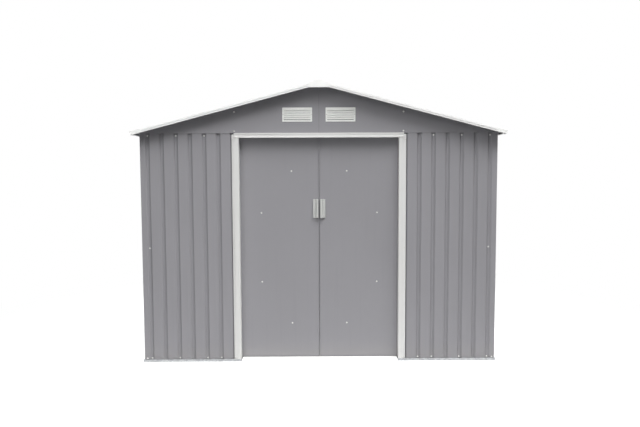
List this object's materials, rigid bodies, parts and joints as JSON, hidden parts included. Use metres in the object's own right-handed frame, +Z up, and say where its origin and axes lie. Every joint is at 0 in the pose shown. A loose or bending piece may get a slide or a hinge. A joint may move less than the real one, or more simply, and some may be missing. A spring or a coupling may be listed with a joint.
{
  "type": "metal storage shed",
  "caption": "Corrugated sheet steel garden shed with a low gabled roof, white trim, louvred gable vents and a pair of sliding doors.",
  "frame": {"origin": "centre of the base on the ground, under the middle of the roof", "axes": "+X to the right across the front, +Y from the doors towards the back wall, +Z up"},
  "size_m": [2.6108, 1.87, 1.9891],
  "materials": {
    "grey_sheet": "satin",
    "white_trim": "satin",
    "white_plastic": "satin",
    "galvanised": "matte"
  },
  "bodies": {
    "shed": {"base_rail_front": "galvanised", "base_rail_back": "galvanised", "side_base_rails": "galvanised", "front_wall_right": "grey_sheet", "front_wall_left": "grey_sheet", "right_wall": "grey_sheet", "left_wall": "grey_sheet", "back_wall": "grey_sheet", "corner_front_right": "grey_sheet", "corner_front_left": "grey_sheet", "corner_back_right": "grey_sheet", "corner_back_left": "grey_sheet", "top_rail_front": "galvanised", "top_rail_back": "galvanised", "side_top_rails": "galvanised", "front_mid_rails": "galvanised", "back_mid_rail": "galvanised", "side_mid_rails": "galvanised", "front_gable": "grey_sheet", "back_gable": "grey_sheet", "front_vents": "white_plastic", "back_vents": "white_plastic", "jamb_right": "white_trim", "jamb_left": "white_trim", "door_header": "white_trim", "door_sill": "white_trim", "lower_track": "galvanised", "upper_track": "galvanised", "roof_right": "grey_sheet", "roof_left": "grey_sheet", "roof_beams": "galvanised", "ridge_cap": "grey_sheet", "ridge_end_caps": "white_plastic", "front_trim": "white_trim", "back_trim": "white_trim", "eave_trims": "white_trim", "roof_corner_caps": "white_plastic"},
    "right_door": {"right_door_panel": "grey_sheet", "right_door_braces": "galvanised", "right_door_glides": "white_plastic", "right_door_handle": "white_plastic"},
    "left_door": {"left_door_panel": "grey_sheet", "left_door_braces": "galvanised", "left_door_glides": "white_plastic", "left_door_handle": "white_plastic"}
  },
  "joints": [
    {"name": "right_door_slide", "type": "slide", "parent": "shed", "child": "right_door", "axis": [1, 0, 0], "range_m": [0, 0.51]},
    {"name": "left_door_slide", "type": "slide", "parent": "shed", "child": "left_door", "axis": [-1, 0, 0], "range_m": [0, 0.51]}
  ]
}
